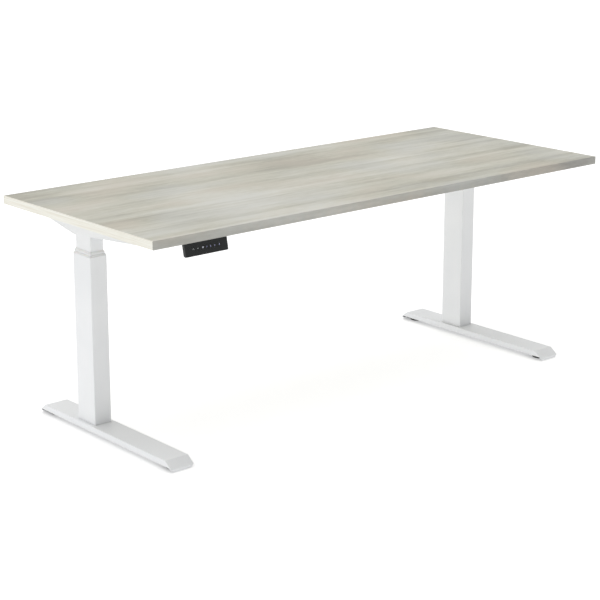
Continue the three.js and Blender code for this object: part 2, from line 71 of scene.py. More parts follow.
def hexColour(code):
    # sRGB hex to the linear colour that the shader works in
    parts = [int(code[i:i + 2], 16) / 255 for i in (0, 2, 4)]
    return [p / 12.92 if p <= 0.04045 else ((p + 0.055) / 1.055) ** 2.4 for p in parts] + [1.0]


def addNode(tree, kind, sockets=None, steps=(), **settings):
    # one node: its settings, what each socket takes (a fixed value or another node's output)
    # and the (position, colour) steps of a ramp
    node = tree.nodes.new(kind)
    for name, setting in settings.items():
        setattr(node, name, setting)
    for socket, value in (sockets or {}).items():
        if isinstance(value, bpy.types.NodeSocket):
            tree.links.new(value, node.inputs[socket])
        else:
            node.inputs[socket].default_value = value
    if steps:
        elements = node.color_ramp.elements
        while len(elements) < len(steps):
            elements.new(0.5)
        for element, (position, code) in zip(elements, steps):
            element.position = position
            element.color = hexColour(code)
    return node


def newMaterial(name, shaderValues):
    material = bpy.data.materials.new(name)
    material.use_nodes = True
    tree = material.node_tree
    tree.nodes.clear()
    shader = addNode(tree, "ShaderNodeBsdfPrincipled", shaderValues)
    addNode(tree, "ShaderNodeOutputMaterial", {"Surface": shader.outputs["BSDF"]})
    place = addNode(tree, "ShaderNodeTexCoord").outputs["Object"]
    return material, tree, shader, place


def grainLines(tree, place, size, detail, fineness=0.5):
    # a soft pattern drawn out to the size along x, y and z, in millimetres
    drawn = addNode(tree, "ShaderNodeMapping", {
        "Vector": place, "Scale": [1 / (length * mm) for length in size]})
    return addNode(tree, "ShaderNodeTexNoise", {
        "Vector": drawn.outputs["Vector"], "Scale": 1.0, "Detail": detail,
        "Roughness": fineness}).outputs


def roughen(tree, shader, look, gloss, relief, strength=1.0):
    # the gloss pattern moves between the two roughness values, the relief pattern lifts the
    # surface by the depth
    least, most = look["roughness"]
    uneven = addNode(tree, "ShaderNodeMapRange", {"Value": gloss, "To Min": least, "To Max": most})
    lifted = addNode(tree, "ShaderNodeBump", {
        "Height": relief, "Distance": look["depth"], "Strength": strength})
    tree.links.new(uneven.outputs["Result"], shader.inputs["Roughness"])
    tree.links.new(lifted.outputs["Normal"], shader.inputs["Normal"])


# materials: the finishes of this desk

powderCoat = {
    "colour": "EEEFF0",      # traffic white
    "shade": "E6E8EA",       # thinner film on the flats
    "filmSize": 120 * mm,
    "roughness": (0.36, 0.46),
    "peelSize": 2.2 * mm,    # orange peel is about 1 mm; drawn at twice that so it shows
    "depth": 0.012 * mm,
}


def powderCoatedSteel():
    # polyester powder baked on steel: satin, faint orange peel, slightly uneven film
    look = powderCoat
    material, tree, shader, place = newMaterial("powderCoatedSteel", {"IOR": 1.5})
    film = addNode(tree, "ShaderNodeTexNoise", {
        "Vector": place, "Scale": 1 / look["filmSize"], "Detail": 2.0}).outputs["Fac"]
    tint = addNode(tree, "ShaderNodeMix", {
        0: film, 6: hexColour(look["colour"]), 7: hexColour(look["shade"])}, data_type="RGBA")
    tree.links.new(tint.outputs[2], shader.inputs["Base Color"])
    peel = addNode(tree, "ShaderNodeTexNoise", {
        "Vector": place, "Scale": 1 / look["peelSize"], "Detail": 1.5}).outputs["Fac"]
    roughen(tree, shader, look, film, peel)
    return material


oak = {
    # each pattern's length, width and thickness in millimetres (the grain runs along x), its
    # detail and its share of the tone; oak fibre is about 0.3 mm wide and is drawn at 1.2 mm,
    # because finer lines would not show
    "patterns": {
        "patch": ((600, 360, 360), 1.5, 0.85),
        "band": ((1000, 45, 45), 2.0, 0.6),
        "streak": ((150, 15, 15), 3.0, 0.3),
        "fleck": ((30, 9, 9), 2.0, 0.2),
        "fibre": ((50, 1.2, 1.2), 3.0, 0.12),
    },
    "fineness": 0.55,
    "tones": ((0.3, "A29F91"), (0.43, "B5B3A4"), (0.5, "BDBBAD"), (0.58, "C5C3B7"), (0.72, "CFCEC5")),
    # the banding on the long edges is a little darker than the board
    "bandTones": ((0.3, "92908A"), (0.5, "A9A8A0"), (0.72, "BAB9B2")),
    # the stain leans warm in some boards of the print and cool in others: its colour, where in
    # the hue pattern it is fullest and how full it gets there
    "stains": (("C4B9AA", 0.7, 0.36), ("BFC2C2", 0.3, 0.3)),
    "hueSize": (300, 150, 150),     # millimetres
    "wanderSize": (600, 200, 200),  # millimetres, between one bend of a grain line and the next
    "bow": 6 * mm,                  # how far a grain line wanders from straight
    "roughness": (0.45, 0.58),
    "depth": 0.03 * mm,
    "emboss": 0.6,
}


def washedOak(name, tones):
    # decor paper pressed in melamine over particle board: pale limed oak, straight soft grain
    # lines, matt with a shallow wood-pore emboss
    look = oak
    material, tree, shader, place = newMaterial(name, {"IOR": 1.5})
    wander = grainLines(tree, place, look["wanderSize"], 1.0)["Color"]
    offset = addNode(tree, "ShaderNodeVectorMath", {0: wander, 1: (0.5, 0.5, 0.5)},
                     operation="SUBTRACT").outputs["Vector"]
    sideways = addNode(tree, "ShaderNodeVectorMath", {0: offset, 1: (0.0, look["bow"], 0.0)},
                       operation="MULTIPLY").outputs["Vector"]
    bent = addNode(tree, "ShaderNodeVectorMath", {0: place, 1: sideways},
                   operation="ADD").outputs["Vector"]
    tone = 0.5 - sum(share for size, detail, share in look["patterns"].values()) / 2
    for size, detail, share in look["patterns"].values():
        pattern = grainLines(tree, bent, size, detail, look["fineness"])["Fac"]
        tone = addNode(tree, "ShaderNodeMath", {0: pattern, 1: share, 2: tone},
                       operation="MULTIPLY_ADD").outputs["Value"]
    fibre = pattern          # the last and finest of them
    colour = addNode(tree, "ShaderNodeValToRGB", {"Fac": tone}, tones).outputs["Color"]
    hue = grainLines(tree, bent, look["hueSize"], 1.0)["Fac"]
    for code, peak, fullest in look["stains"]:
        amount = addNode(tree, "ShaderNodeMapRange", {
            "Value": hue, "From Min": 0.5, "From Max": peak, "To Max": fullest})
        colour = addNode(tree, "ShaderNodeMix", {
            0: amount.outputs["Result"], 6: colour, 7: hexColour(code)}, data_type="RGBA").outputs[2]
    tree.links.new(colour, shader.inputs["Base Color"])
    roughen(tree, shader, look, fibre, fibre, look["emboss"])
    return material


creamBand = {
    "colours": ((0.36, "E2DED1"), (0.52, "EAE8DD"), (0.66, "EEEDE5")),
    "streak": (10, 160, 4),  # millimetres; the printed lines run front to back
    "roughness": (0.4, 0.52),
    "depth": 0.03 * mm,
}


def creamEdgeBand():
    # ABS banding printed with a bleached end grain: nearly white, faint lines front to back
    look = creamBand
    material, tree, shader, place = newMaterial("creamEdgeBand", {"IOR": 1.53})
    streak = grainLines(tree, place, look["streak"], 3.0, 0.6)["Fac"]
    printed = addNode(tree, "ShaderNodeValToRGB", {"Fac": streak}, look["colours"])
    tree.links.new(printed.outputs["Color"], shader.inputs["Base Color"])
    roughen(tree, shader, look, streak, streak)
    return material


plastics = {
    # an eroded skin's pits are about 0.1 mm wide and are drawn several times wider, so they show
    # glass-filled polyamide, injection moulded: matt, a fine eroded skin, a touch of translucence
    "whiteNylon": {
        "shader": {"IOR": 1.53, "Subsurface Weight": 0.08, "Subsurface Scale": 1.5 * mm},
        "colour": "EDEEEE", "skinSize": 0.9 * mm, "detail": 3.0,
        "roughness": (0.42, 0.56), "depth": 0.02 * mm,
    },
    # ABS, injection moulded in an eroded tool, whose skin breaks the highlight up
    "blackAbs": {
        "shader": {"IOR": 1.53},
        "colour": "1A1D1D", "skinSize": 0.8 * mm, "detail": 3.0,
        "roughness": (0.48, 0.62), "depth": 0.02 * mm,
    },
    # black acrylic over the keys: smooth, a faint smear of handling in the gloss
    "acrylicPanel": {
        "shader": {"IOR": 1.49},
        "colour": "151818", "skinSize": 30 * mm, "detail": 3.0,
        "roughness": (0.22, 0.34), "depth": 0.004 * mm,
    },
    # soft PVC jacket, extruded: matt with a faint waviness along its length
    "cableJacket": {
        "shader": {"IOR": 1.52},
        "colour": "242426", "skinSize": 6 * mm, "detail": 2.0,
        "roughness": (0.5, 0.7), "depth": 0.05 * mm,
    },
}


def colouredPlastic(name):
    # one colour right through, with the skin that its mould or die leaves
    look = plastics[name]
    material, tree, shader, place = newMaterial(name, {
        "Base Color": hexColour(look["colour"]), **look["shader"]})
    skin = addNode(tree, "ShaderNodeTexNoise", {
        "Vector": place, "Scale": 1 / look["skinSize"], "Detail": look["detail"]}).outputs["Fac"]
    roughen(tree, shader, look, skin, skin)
    return material


keyMarks = {
    "cloudSize": 1.5 * mm,
    # colour and strength of each kind of mark's glow
    "symbolWhite": ("CDD2E4", 0.45),
    "symbolDim": ("9AA6A4", 0.2),
    "symbolBlue": ("6C6CD0", 0.32),
}


def litMark(name):
    # translucent acrylic, a little cloudy, whose mark glows by itself
    code, glow = keyMarks[name]
    material, tree, shader, place = newMaterial(name, {
        "Roughness": 0.5, "IOR": 1.49, "Emission Color": hexColour(code), "Emission Strength": glow})
    cloud = addNode(tree, "ShaderNodeTexNoise", {
        "Vector": place, "Scale": 1 / keyMarks["cloudSize"], "Detail": 1.0}).outputs["Fac"]
    milky = addNode(tree, "ShaderNodeMix", {0: cloud, 6: hexColour(code), 7: hexColour("FFFFFF")},
                    data_type="RGBA")
    tree.links.new(milky.outputs[2], shader.inputs["Base Color"])
    return material


metals = {
    # lines: the drawing, turning or casting marks along x, y and z in millimetres; the real ones
    # are a tenth as wide, which would not show
    "zincPlatedSteel": {
        "colour": "B9BCBF", "lines": (4, 4, 60), "roughness": (0.26, 0.4),
        "depth": 0.01 * mm,
    },
    "blackZincScrew": {
        "colour": "2E3033", "lines": (3, 3, 3), "roughness": (0.35, 0.5),
        "depth": 0.01 * mm,
    },
    "castAlloy": {
        "colour": "A3A6A9", "lines": (2, 2, 2), "roughness": (0.45, 0.6),
        "depth": 0.03 * mm,
    },
    "nickelPlatedCan": {
        "colour": "A9ADB0", "lines": (3, 3, 80), "roughness": (0.22, 0.36),
        "depth": 0.008 * mm,
    },
}


def bareMetal(name):
    # plated, cast or drawn metal: its marks draw the highlight out along them
    look = metals[name]
    material, tree, shader, place = newMaterial(name, {
        "Base Color": hexColour(look["colour"]), "Metallic": 1.0})
    lines = grainLines(tree, place, look["lines"], 3.0, 0.6)["Fac"]
    roughen(tree, shader, look, lines, lines)
    return material


circuitBoard = {
    "colours": ("1F4A33", "235239"),
    "weaveSize": 1.2 * mm,   # the weave is about 0.5 mm; drawn at twice that so it shows
    "roughness": 0.35,
}


def solderMask():
    # green lacquer over glass fibre, with the weave just visible
    look = circuitBoard
    material, tree, shader, place = newMaterial("solderMask", {
        "Roughness": look["roughness"], "IOR": 1.55})
    first, second = (hexColour(code) for code in look["colours"])
    weave = addNode(tree, "ShaderNodeTexChecker", {
        "Vector": place, "Scale": 1 / look["weaveSize"], "Color1": first, "Color2": second})
    tree.links.new(weave.outputs["Color"], shader.inputs["Base Color"])
    return material


finishes = {
    "coat": powderCoatedSteel(),
    "nylon": colouredPlastic("whiteNylon"),
    "oak": washedOak("washedOakMelamine", oak["tones"]),
    "oakBand": washedOak("washedOakBanding", oak["bandTones"]),
    "cream": creamEdgeBand(),
    "blackAbs": colouredPlastic("blackAbs"),
    "acrylic": colouredPlastic("acrylicPanel"),
    "zinc": bareMetal("zincPlatedSteel"),
    "blackZinc": bareMetal("blackZincScrew"),
    "castAlloy": bareMetal("castAlloy"),
    "nickel": bareMetal("nickelPlatedCan"),
    "jacket": colouredPlastic("cableJacket"),
    "board": solderMask(),
    "symbolWhite": litMark("symbolWhite"),
    "symbolDim": litMark("symbolDim"),
    "symbolBlue": litMark("symbolBlue"),
}
print("stage: materials made,", len(finishes))


# mesh tools

def newPiece(name, bm, finish, body, replaced=(), sharpAngle=35):
    # closes a bmesh into a piece: outward faces, smooth shading with sharp corners kept
    bmesh.ops.recalc_face_normals(bm, faces=bm.faces)
    limit = math.radians(sharpAngle)
    for edge in bm.edges:
        edge.smooth = len(edge.link_faces) == 2 and edge.calc_face_angle(0) < limit
    for face in bm.faces:
        face.smooth = True
    mesh = bpy.data.meshes.new(name)
    bm.to_mesh(mesh)
    bm.free()
    piece = bpy.data.objects.new(name, mesh)
    bpy.context.scene.collection.objects.link(piece)
    mesh.materials.append(finishes[finish])
    # large flat faces keep their own direction, so only the rounded edges catch light
    evened = piece.modifiers.new("evened", "WEIGHTED_NORMAL")
    evened.keep_sharp = True
    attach(piece, body)
    if replaced:
        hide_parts(*replaced)


cleaning = {
    "solidMerge": 0.004 * mm,
    "letterMerge": 0.0001 * mm,
    "flatWithin": 0.6,       # degrees
}


def cleanSolid(node):
    # a node's solid as a bmesh with shared vertices and whole flat faces
    bm = bmesh.new()
    bm.from_mesh(nodes[node].data)
    bmesh.ops.remove_doubles(bm, verts=bm.verts, dist=cleaning["solidMerge"])
    bmesh.ops.dissolve_limit(bm, angle_limit=math.radians(cleaning["flatWithin"]),
                             verts=bm.verts, edges=bm.edges)
    return bm


def roundEdges(bm, width, segments=3, corner=35, chosen=None):
    limit = math.radians(corner)
    edges = [
        edge for edge in bm.edges
        if len(edge.link_faces) == 2 and edge.calc_face_angle(0) > limit
        and (chosen is None or chosen(edge))
    ]
    bmesh.ops.bevel(bm, geom=edges, offset=width, offset_type="OFFSET", segments=segments,
                    profile=0.5, affect="EDGES", clamp_overlap=True)


def boxInto(bm, low, high):
    middle = (Vector(low) + Vector(high)) / 2
    size = Vector(high) - Vector(low)
    for vertex in bmesh.ops.create_cube(bm, size=1.0)["verts"]:
        vertex.co = vertex.co * size + middle


def turnedInto(bm, profile, place, segments):
    # a turned body about Z from (radius, z) points, the ones on the axis closing it
    rings = []
    for radius, z in profile:
        if radius < tiny:
            rings.append([bm.verts.new(place @ Vector((0, 0, z)))])
            continue
        angles = [2 * math.pi * i / segments for i in range(segments)]
        rings.append([bm.verts.new(place @ Vector((radius * math.cos(a), radius * math.sin(a), z)))
                      for a in angles])
    for lower, upper in zip(rings, rings[1:]):
        for i in range(segments):
            j = (i + 1) % segments
            if len(lower) == 1:
                bm.faces.new((lower[0], upper[j], upper[i]))
            elif len(upper) == 1:
                bm.faces.new((lower[i], lower[j], upper[0]))
            else:
                bm.faces.new((lower[i], lower[j], upper[j], upper[i]))


def ringInto(bm, profile, place, segments=28):
    # a turned ring whose closed profile stays off the axis
    rings = []
    for i in range(segments):
        a = 2 * math.pi * i / segments
        rings.append([bm.verts.new(place @ Vector((r * math.cos(a), r * math.sin(a), z)))
                      for r, z in profile])
    count = len(profile)
    for i in range(segments):
        here, following = rings[i], rings[(i + 1) % segments]
        for k in range(count):
            n = (k + 1) % count
            bm.faces.new((here[k], here[n], following[n], following[k]))


def roundedRing(bm, place, width, depth, radius, z, cornerSteps=6):
    # one ring of vertices round a rectangle with rounded corners
    ring = []
    for corner, (sx, sy) in enumerate(((1, 1), (-1, 1), (-1, -1), (1, -1))):
        middle = Vector((sx * (width / 2 - radius), sy * (depth / 2 - radius), z))
        for step in range(cornerSteps + 1):
            angle = math.pi / 2 * (corner + step / cornerSteps)
            turn = Vector((math.cos(angle), math.sin(angle), 0)) * radius
            ring.append(bm.verts.new(place @ (middle + turn)))
    return ring


def loftInto(bm, levels, place):
    # a closed sleeve through (width, depth, corner radius, z) rings, the last joined to the first
    rings = [roundedRing(bm, place, *level) for level in levels]
    for first, second in zip(rings, rings[1:] + rings[:1]):
        for i in range(len(first)):
            j = (i + 1) % len(first)
            bm.faces.new((first[i], first[j], second[j], second[i]))


def aimed(position, direction):
    # a placement whose Z axis points along direction
    turn = Vector(direction).to_track_quat("Z", "Y").to_matrix().to_4x4()
    return Matrix.Translation(Vector(position)) @ turn


# structure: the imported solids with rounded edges

def finishNode(node, body, finish, width, segments=3, corner=35):
    bm = cleanSolid(node)
    roundEdges(bm, width, segments, corner)
    newPiece(node + "_finished", bm, finish, body, [node])


edgeRadii = {
    "foot": 1.2 * mm, "bracket": 0.6 * mm, "beam": 0.8 * mm, "glide": 0.6 * mm, "box": 0.8 * mm,
    "innerTube": 0.3 * mm,
}
tubeShape = {
    "corner": 3 * mm, "leastCorner": 0.8 * mm, "rim": 0.35 * mm,
    "outerWall": 2 * mm, "middleWall": 1.5 * mm,
}
collarShape = {
    "height": 5.5 * mm, "lip": 1 * mm, "slope": 2.7 * mm, "skirtWall": 0.9 * mm,
    "play": 0.3 * mm, "edge": 0.25 * mm,
}


def boxOf(node):
    low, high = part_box(node)
    return low, high, (low + high) / 2, high - low


def addTube(node, body, wall):
    # drawn steel tube, its corners truly round and its cut ends deburred
    low, high, middle, size = boxOf(node)
    rim = tubeShape["rim"]

    def level(inset, z):
        corner = max(tubeShape["corner"] - inset, tubeShape["leastCorner"])
        return (size.x - 2 * inset, size.y - 2 * inset, corner, z)

    levels = [
        level(rim, low.z), level(0, low.z + rim), level(0, high.z - rim), level(rim, high.z),
        level(wall - rim, high.z), level(wall, high.z - rim), level(wall, low.z + rim),
        level(wall - rim, low.z),
    ]
    bm = bmesh.new()
    loftInto(bm, levels, Matrix.Translation((middle.x, middle.y, 0)))
    newPiece(node + "_finished", bm, "coat", body, [node], sharpAngle=50)


def addCollar(node, inner, body):
    # the moulded guide in a tube's mouth: upright lip, slope, mouth and the skirt below
    low, high, middle, size = boxOf(node)
    innerSize = boxOf(inner)[3]
    shape, corner, edge = collarShape, tubeShape["corner"], collarShape["edge"]
    bottom = high.z - shape["height"]
    lip = bottom + shape["lip"]

    def outer(inset, z):
        return (size.x - 2 * inset, size.y - 2 * inset, corner, z)

    def mouth(grow, z):
        reach = 2 * (shape["play"] + grow)
        return (innerSize.x + reach, innerSize.y + reach, corner + shape["play"] + grow, z)

    slope = shape["slope"]
    # the lip and the rim are eased by facets a little shorter than the edge
    levels = [
        outer(edge, bottom), outer(0, bottom + edge), outer(0, lip - edge), outer(edge * 0.6, lip),
        outer(slope - edge * 0.7, high.z - edge), outer(slope + edge * 0.4, high.z),
        mouth(edge, high.z), mouth(0, high.z - edge),
        mouth(0, low.z), mouth(shape["skirtWall"], low.z), mouth(shape["skirtWall"], bottom),
    ]
    bm = bmesh.new()
    loftInto(bm, levels, Matrix.Translation((middle.x, middle.y, 0)))
    newPiece(node + "_finished", bm, "nylon", body, [node], sharpAngle=50)


for side in sides:
    base, middleBody = side + "_base", side + "_middle"
    finishNode(side + "_foot", base, "coat", edgeRadii["foot"], corner=20)
    addTube(side + "_outer_tube", base, tubeShape["outerWall"])
    addCollar(side + "_outer_collar", side + "_middle_tube", base)
    addTube(side + "_middle_tube", middleBody, tubeShape["middleWall"])
    addCollar(side + "_middle_collar", side + "_inner_tube", middleBody)
    finishNode(side + "_inner_tube", "top", "coat", edgeRadii["innerTube"], segments=2)
    finishNode(side + "_side_bracket", "top", "coat", edgeRadii["bracket"], corner=12)
    for place in ("front", "rear"):
        name = side + "_glide_" + place
        finishNode(name, name + "_body", "blackAbs", edgeRadii["glide"],
                   segments=2, corner=50)

for name in ("beam_left", "beam_right", "beam_sleeve"):
    finishNode(name, "top", "coat", edgeRadii["beam"], segments=2)
for name in ("control_box_cover", "control_box_base"):
    finishNode(name, "top", "blackAbs", edgeRadii["box"])

keptFinishes = {
    "base_plate": "zinc", "lower_spindle": "zinc", "middle_end_plate": "zinc",
    "spindle_sleeve": "zinc", "drive_tube": "zinc", "gearbox": "castAlloy", "motor": "nickel",
    "column_head": "zinc",
}


def dress(node, finish):
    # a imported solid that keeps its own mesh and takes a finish
    mesh = nodes[node].data
    mesh.materials.clear()
    mesh.materials.append(finishes[finish])


for side in sides:
    for part, finish in keptFinishes.items():
        dress(side + "_" + part, finish)
dress("control_circuit", "board")
dress("power_inlet", "blackAbs")
dress("socket_row", "nylon")
print("stage: frame and columns finished")


# desk top

deskTop = {"edgeRadius": 1.2 * mm, "segments": 4}


def makeTop():
    low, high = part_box("edge_band_front")[0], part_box("edge_band_rear")[1]
    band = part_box("edge_band_front")[1].y - low.y
    # the board runs right up to the bands
    bm = bmesh.new()
    boxInto(bm, (low.x + band, low.y + band, low.z), (high.x - band, high.y - band, high.z))
    newPiece("board", bm, "oak", "top", ["desktop_board"])
    spans = {
        "front": ((low.x, low.y), (high.x, low.y + band), "oakBand"),
        "rear": ((low.x, high.y - band), (high.x, high.y), "oakBand"),
        "left": ((low.x, low.y + band), (low.x + band, high.y - band), "cream"),
        "right": ((high.x - band, low.y + band), (high.x, high.y - band), "cream"),
    }
    for name, (near, far, finish) in spans.items():
        bm = bmesh.new()
        boxInto(bm, (*near, low.z), (*far, high.z))

        def outside(edge):
            # only the corners that a hand can touch are rounded
            ends = [vertex.co for vertex in edge.verts]
            level = abs(ends[0].z - ends[1].z) < tiny
            across = "y" if name in ("front", "rear") else "x"
            rim = {"front": low.y, "rear": high.y, "left": low.x, "right": high.x}[name]
            onRim = all(abs(getattr(end, across) - rim) < tiny for end in ends)
            return onRim and (level or name in ("front", "rear"))

        roundEdges(bm, deskTop["edgeRadius"], deskTop["segments"], chosen=outside)
        newPiece("band_" + name, bm, finish, "top", ["edge_band_" + name])


makeTop()
print("stage: top made")


# screws, clips and plugs

screwKinds = {
    # head radius, head height and half the hexagon across its flats
    "wood": (4.2 * mm, 2.4 * mm, 1.6 * mm),
    "bolt": (5.6 * mm, 3.2 * mm, 2.1 * mm),
    "grub": (2.6 * mm, 0.9 * mm, 1.3 * mm),
    "small": (2.6 * mm, 1.5 * mm, 1.0 * mm),
}
screwHead = {
    "skirt": 0.35,           # straight part of the head's height, under the dome
    "domeTurn": 0.62,        # how much of a quarter turn the dome takes before the socket
    "socketDepth": 0.45,     # share of the head's height
    "domeSteps": 5,
    "around": 24,
}


def screwInto(bm, position, direction, kind):
    # a domed head with a hexagon socket, its seat at the position
    radius, height, socket = screwKinds[kind]
    head = screwHead
    place = aimed(position, direction)
    dome = []
    for i in range(head["domeSteps"] + 1):
        a = math.pi / 2 * head["domeTurn"] * i / head["domeSteps"]
        rise = head["skirt"] + (1 - head["skirt"]) * math.sin(a)
        dome.append((radius * math.cos(a), height * rise))
    around = head["around"]
    turnedInto(bm, [(0, 0), (radius, 0)] + dome, place, around)
    bm.verts.ensure_lookup_table()
    ring = bm.verts[-around:]
    top = dome[-1][1]
    bottom = top - height * head["socketDepth"]
    mouth, floor = [], []
    for i in range(around):
        # the hexagon's outline at this angle
        angle = 2 * math.pi * i / around
        reach = socket / math.cos((angle % (math.pi / 3)) - math.pi / 6)
        x, y = reach * math.cos(angle), reach * math.sin(angle)
        mouth.append(bm.verts.new(place @ Vector((x, y, top))))
        floor.append(bm.verts.new(place @ Vector((x, y, bottom))))
    for i in range(around):
        j = (i + 1) % around
        bm.faces.new((ring[i], ring[j], mouth[j], mouth[i]))
        bm.faces.new((mouth[i], mouth[j], floor[j], floor[i]))
    bm.faces.new(floor)


def screwSet(name, places, direction, kind, body, finish="zinc"):
    for number, position in enumerate(places, 1):
        bm = bmesh.new()
        screwInto(bm, position, direction, kind)
        newPiece(f"{name}_{number}", bm, finish, body, sharpAngle=30)


hardware = {
    "webScrewY": (-0.205, -0.12, 0.215, 0.285),  # along a side bracket, into the board
    "foldedSteel": 2.5 * mm,                     # side brackets and feet
    "plateSteel": 3 * mm,                        # end plates of the beams
    "plateBoltY": 28 * mm,
    "plateBoltZ": (0.616, 0.652),
    "grubInset": 25 * mm,
    "grubStep": 60 * mm,
    "footBolt": (16 * mm, 30 * mm),              # each way from the column's axis
    "ear": (7 * mm, 20 * mm),                    # in from the control box's sides and ends
    "panelFlange": (50 * mm, 8 * mm, 4 * mm),    # in from the panel body's ends, rear and roof
}


def addFrameScrews(side, sign):
    fit = hardware
    low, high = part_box(side + "_side_bracket")
    web = ((low.x + high.x) / 2, high.z - fit["foldedSteel"])
    screwSet(side + "_bracket_screw", [(web[0], y, web[1]) for y in fit["webScrewY"]],
             (0, 0, -1), "wood", "top")
    low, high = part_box("beam_" + side)
    face = low.x + fit["plateSteel"] if sign < 0 else high.x - fit["plateSteel"]
    centre = (low.y + high.y) / 2
    places = [(face, centre + dy, z) for dy in (-fit["plateBoltY"], fit["plateBoltY"])
              for z in fit["plateBoltZ"]]
    screwSet(side + "_beam_bolt", places, (-sign, 0, 0), "bolt", "top")
    low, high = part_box("beam_sleeve")
    edge = sign * (high.x - fit["grubInset"])
    places = [(edge - sign * step, low.y, (low.z + high.z) / 2) for step in (0, fit["grubStep"])]
    screwSet(side + "_grub_screw", places, (0, -1, 0), "grub", "top", "blackZinc")
    low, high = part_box(side + "_base_plate")
    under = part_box(side + "_foot")[1].z - fit["foldedSteel"]
    across, along = fit["footBolt"]
    places = [((low.x + high.x) / 2 + dx, (low.y + high.y) / 2 + dy, under)
              for dx in (-across, across) for dy in (-along, along)]
    screwSet(side + "_foot_bolt", places, (0, 0, -1), "bolt", side + "_base")


def addScrews():
    for side, sign in sides.items():
        addFrameScrews(side, sign)
    low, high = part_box("control_box_base")
    inX, inY = hardware["ear"]
    places = [(x, y, low.z) for x in (low.x + inX, high.x - inX) for y in (low.y + inY, high.y - inY)]
    screwSet("box_screw", places, (0, 0, -1), "wood", "top")
    low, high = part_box("handset_body")
    inX, inY, inZ = hardware["panelFlange"]
    places = [(x, high.y - inY, high.z - inZ) for x in (low.x + inX, high.x - inX)]
    screwSet("handset_screw", places, (0, 0, -1), "small", "top")


addScrews()
print("stage: screws placed")


leads = {
    "motorRadius": 3 * mm,
    "thinRadius": 2.2 * mm,
    "clipHeight": 0.66,                # centre line of a lead clipped to the underside
    "motorClips": (0.42, 0.53, 0.64),  # shares of a lead's length
    "handsetClips": (0.28, 0.46, 0.62),
    "grommetYZ": (0.055, 0.641),       # where the motor lead passes the bracket's wall
    "around": 14,
    "stepsPerPoint": 7,
}
clipped = leads["clipHeight"]
motorLeadRoute = [
    (0.772, 0.0988, 0.640), (0.772, 0.086, 0.640), (0.772, 0.074, 0.640), (0.768, 0.064, 0.640),
    (0.760, 0.0575, 0.640), (0.748, 0.055, 0.641), (0.734, 0.054, 0.645), (0.716, 0.052, 0.654),
    (0.694, 0.050, clipped), (0.640, 0.047, clipped), (0.520, 0.040, clipped),
    (0.380, 0.028, clipped), (0.260, 0.002, clipped), (0.180, -0.040, clipped),
    (0.130, -0.068, 0.660), (0.084, -0.078, 0.654), (0.050, -0.076, 0.648), (0.030, -0.066, 0.6455),
    (0.022, -0.054, 0.645), (0.022, -0.0435, 0.645),
]
handsetLeadRoute = [
    (-0.700, -0.3385, 0.656), (-0.700, -0.326, 0.656), (-0.699, -0.300, 0.6585),
    (-0.694, -0.240, clipped), (-0.676, -0.180, clipped), (-0.620, -0.132, clipped),
    (-0.520, -0.108, clipped), (-0.400, -0.100, clipped), (-0.260, -0.098, clipped),
    (-0.140, -0.098, 0.659), (-0.070, -0.098, 0.656), (-0.028, -0.092, 0.650),
    (-0.006, -0.078, 0.646), (0.000, -0.062, 0.645), (0.000, -0.0435, 0.645),
]


def smoothPath(route, steps):
    # a Catmull-Rom curve through the route's points
    points = [Vector(point) for point in route]
    padded = [2 * points[0] - points[1]] + points + [2 * points[-1] - points[-2]]
    path = []
    for i in range(1, len(padded) - 2):
        p0, p1, p2, p3 = padded[i - 1:i + 3]
        # knots spaced by the square root of distance keep the curve from overshooting
        t1 = (p1 - p0).length ** 0.5
        t2 = t1 + (p2 - p1).length ** 0.5
        t3 = t2 + (p3 - p2).length ** 0.5
        for step in range(steps):
            t = t1 + (t2 - t1) * step / steps
            a1 = p0 * ((t1 - t) / t1) + p1 * (t / t1)
            a2 = p1 * ((t2 - t) / (t2 - t1)) + p2 * ((t - t1) / (t2 - t1))
            a3 = p2 * ((t3 - t) / (t3 - t2)) + p3 * ((t - t2) / (t3 - t2))
            b1 = a1 * ((t2 - t) / t2) + a2 * (t / t2)
            b2 = a2 * ((t3 - t) / (t3 - t1)) + a3 * ((t - t1) / (t3 - t1))
            path.append(b1 * ((t2 - t) / (t2 - t1)) + b2 * ((t - t1) / (t2 - t1)))
    path.append(points[-1])
    return path


def tubeInto(bm, path, radius, around):
    # a round tube swept along the path with its ends closed
    heading = (path[1] - path[0]).normalized()
    across = heading.orthogonal().normalized()
    rings = []
    for i, point in enumerate(path):
        ahead = path[min(i + 1, len(path) - 1)] - path[max(i - 1, 0)]
        ahead.normalize()
        across = (across - ahead * across.dot(ahead)).normalized()
        other = ahead.cross(across)
        rings.append([
            bm.verts.new(point + radius * (math.cos(a) * across + math.sin(a) * other))
            for a in (2 * math.pi * k / around for k in range(around))
        ])
    for first, second in zip(rings, rings[1:]):
        for k in range(around):
            following = (k + 1) % around
            bm.faces.new((first[k], first[following], second[following], second[k]))
    bm.faces.new(rings[0])
    bm.faces.new(rings[-1])


def addLead(name, route, radius, node):
    bm = bmesh.new()
    path = smoothPath(route, leads["stepsPerPoint"])
    tubeInto(bm, path, radius, leads["around"])
    newPiece(name, bm, "jacket", "top", [node])
    return path


clip = {"gap": 0.3 * mm, "wall": 1.2 * mm, "foot": 7 * mm, "halfLength": 4 * mm, "steps": 10}


